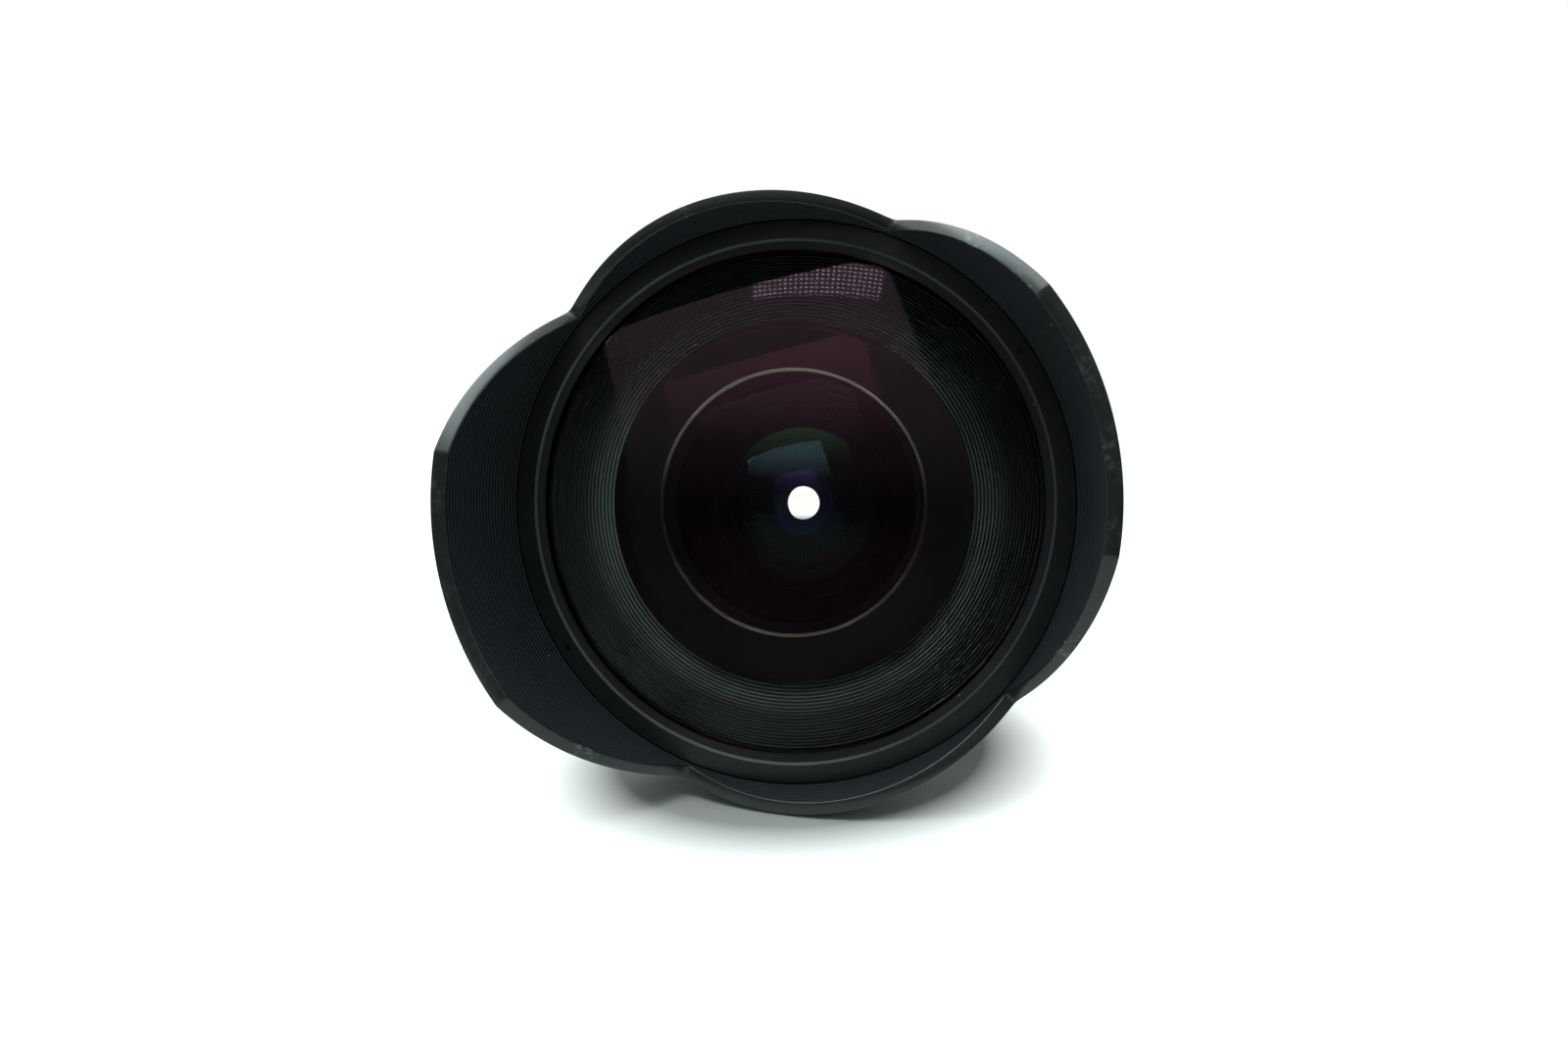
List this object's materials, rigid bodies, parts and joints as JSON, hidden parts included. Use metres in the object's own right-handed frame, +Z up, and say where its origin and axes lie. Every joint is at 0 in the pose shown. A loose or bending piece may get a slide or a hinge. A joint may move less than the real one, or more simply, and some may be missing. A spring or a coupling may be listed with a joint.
{
  "type": "wide-angle prime lens",
  "caption": "Ultra-wide camera lens with a fixed petal hood, bulging front glass, ribbed focus ring, click-stop aperture ring and bayonet mount.",
  "frame": {"origin": "centre of the mount flange's seating face, on the optical axis", "axes": "+Y along the optical axis, out of the mount towards the camera; the front looks along -Y; +Z up as the lens lies, rolled so that the top of a landscape picture is 14 degrees above +X"},
  "size_m": [0.087, 0.1, 0.0854],
  "materials": {
    "mount_chrome": "satin chrome on brass",
    "screw_steel": "darkened steel",
    "shim_brass": "plain",
    "baffle_black": "matt",
    "barrel_black": "fine crackle black anodised",
    "inner_black": "matt black anodised",
    "hood_black": "matt black, ribbed inside, rubbed at the rim",
    "trim_metal": "satin",
    "ring_black": "satin black",
    "seal_rubber": "matt",
    "grip_rubber": "matt, ribbed",
    "front_glass": "polished, multi-coated",
    "inner_glass": "polished, coated",
    "blade_steel": "black oxide",
    "click_steel": "bright spring steel",
    "brass_parts": "turned"
  },
  "bodies": {
    "lens_body": {"mount_flange": "mount_chrome", "mount_screws": "screw_steel", "mount_shim": "shim_brass", "rear_baffle": "baffle_black", "rear_collar": "barrel_black", "main_barrel": "inner_black", "index_collar": "barrel_black", "click_spring": "click_steel", "front_barrel": "barrel_black", "petal_hood": "hood_black", "accent_ring": "trim_metal", "hood_screws": "screw_steel", "front_retaining_ring": "ring_black", "front_seal": "seal_rubber", "front_cell": "inner_black", "ribbed_baffle": "inner_black", "second_cell": "inner_black", "second_retaining_ring": "ring_black", "third_retaining_ring": "ring_black", "cell_screws": "screw_steel", "middle_cell": "inner_black", "middle_front_ring": "ring_black", "middle_rear_ring": "ring_black", "middle_lock_ring": "brass_parts", "diaphragm_housing": "inner_black", "rotor_snap_ring": "click_steel", "focus_stop": "screw_steel", "element_01": "front_glass", "element_02": "inner_glass", "element_03": "inner_glass", "element_04": "inner_glass", "element_05": "inner_glass", "element_06": "inner_glass", "element_07": "inner_glass"},
    "focus_ring": {"focus_ring": "barrel_black", "focus_grip": "grip_rubber", "focus_cam_sleeve": "inner_black", "focus_drive_key": "brass_parts"},
    "focus_group": {"focus_cell": "inner_black", "focus_front_ring": "ring_black", "focus_spacers": "inner_black", "rear_retaining_ring": "ring_black", "guide_pins": "brass_parts", "element_08": "inner_glass", "element_09": "inner_glass", "element_10": "inner_glass", "element_11": "inner_glass", "element_12": "inner_glass", "element_13": "inner_glass", "element_14": "inner_glass"},
    "aperture_ring": {"aperture_ring": "barrel_black", "aperture_link": "brass_parts", "link_screw": "screw_steel"},
    "diaphragm_rotor": {"diaphragm_rotor": "brass_parts"},
    "blade_1": {"blade_1": "blade_steel"},
    "blade_2": {"blade_2": "blade_steel"},
    "blade_3": {"blade_3": "blade_steel"},
    "blade_4": {"blade_4": "blade_steel"},
    "blade_5": {"blade_5": "blade_steel"},
    "blade_6": {"blade_6": "blade_steel"}
  },
  "joints": [
    {"name": "focus_turn", "type": "hinge", "parent": "lens_body", "child": "focus_ring", "pos_m": [0, -0.04, 0], "axis": [0, 1, 0], "range_deg": [0, 130]},
    {"name": "focus_slide", "type": "slide", "parent": "lens_body", "child": "focus_group", "axis": [0, -1, 0], "range_m": [0, 0.003]},
    {"name": "aperture_turn", "type": "hinge", "parent": "lens_body", "child": "aperture_ring", "pos_m": [0, -0.012, 0], "axis": [0, -1, 0], "range_deg": [0, 48]},
    {"name": "rotor_turn", "type": "hinge", "parent": "lens_body", "child": "diaphragm_rotor", "pos_m": [0, -0.0336, 0], "axis": [0, -1, 0], "range_deg": [0, 48]},
    {"name": "blade_1_turn", "type": "hinge", "parent": "lens_body", "child": "blade_1", "pos_m": [0.01339, -0.0358, 0.00334], "axis": [0, -1, 0], "range_deg": [0, 24.21]},
    {"name": "blade_2_turn", "type": "hinge", "parent": "lens_body", "child": "blade_2", "pos_m": [0.0038, -0.0358, 0.01327], "axis": [0, -1, 0], "range_deg": [0, 24.21]},
    {"name": "blade_3_turn", "type": "hinge", "parent": "lens_body", "child": "blade_3", "pos_m": [-0.00959, -0.0358, 0.00993], "axis": [0, -1, 0], "range_deg": [0, 24.21]},
    {"name": "blade_4_turn", "type": "hinge", "parent": "lens_body", "child": "blade_4", "pos_m": [-0.01339, -0.0358, -0.00334], "axis": [0, -1, 0], "range_deg": [0, 24.21]},
    {"name": "blade_5_turn", "type": "hinge", "parent": "lens_body", "child": "blade_5", "pos_m": [-0.0038, -0.0358, -0.01327], "axis": [0, -1, 0], "range_deg": [0, 24.21]},
    {"name": "blade_6_turn", "type": "hinge", "parent": "lens_body", "child": "blade_6", "pos_m": [0.00959, -0.0358, -0.00993], "axis": [0, -1, 0], "range_deg": [0, 24.21]}
  ],
  "couplings": [
    {"joint": "focus_slide", "follows": "focus_turn", "m_per_rad": 0.001322},
    {"joint": "rotor_turn", "follows": "aperture_turn", "ratio": 1},
    {"joint": "blade_1_turn", "follows": "aperture_turn", "ratio": 0.50417},
    {"joint": "blade_2_turn", "follows": "aperture_turn", "ratio": 0.50417},
    {"joint": "blade_3_turn", "follows": "aperture_turn", "ratio": 0.50417},
    {"joint": "blade_4_turn", "follows": "aperture_turn", "ratio": 0.50417},
    {"joint": "blade_5_turn", "follows": "aperture_turn", "ratio": 0.50417},
    {"joint": "blade_6_turn", "follows": "aperture_turn", "ratio": 0.50417}
  ]
}
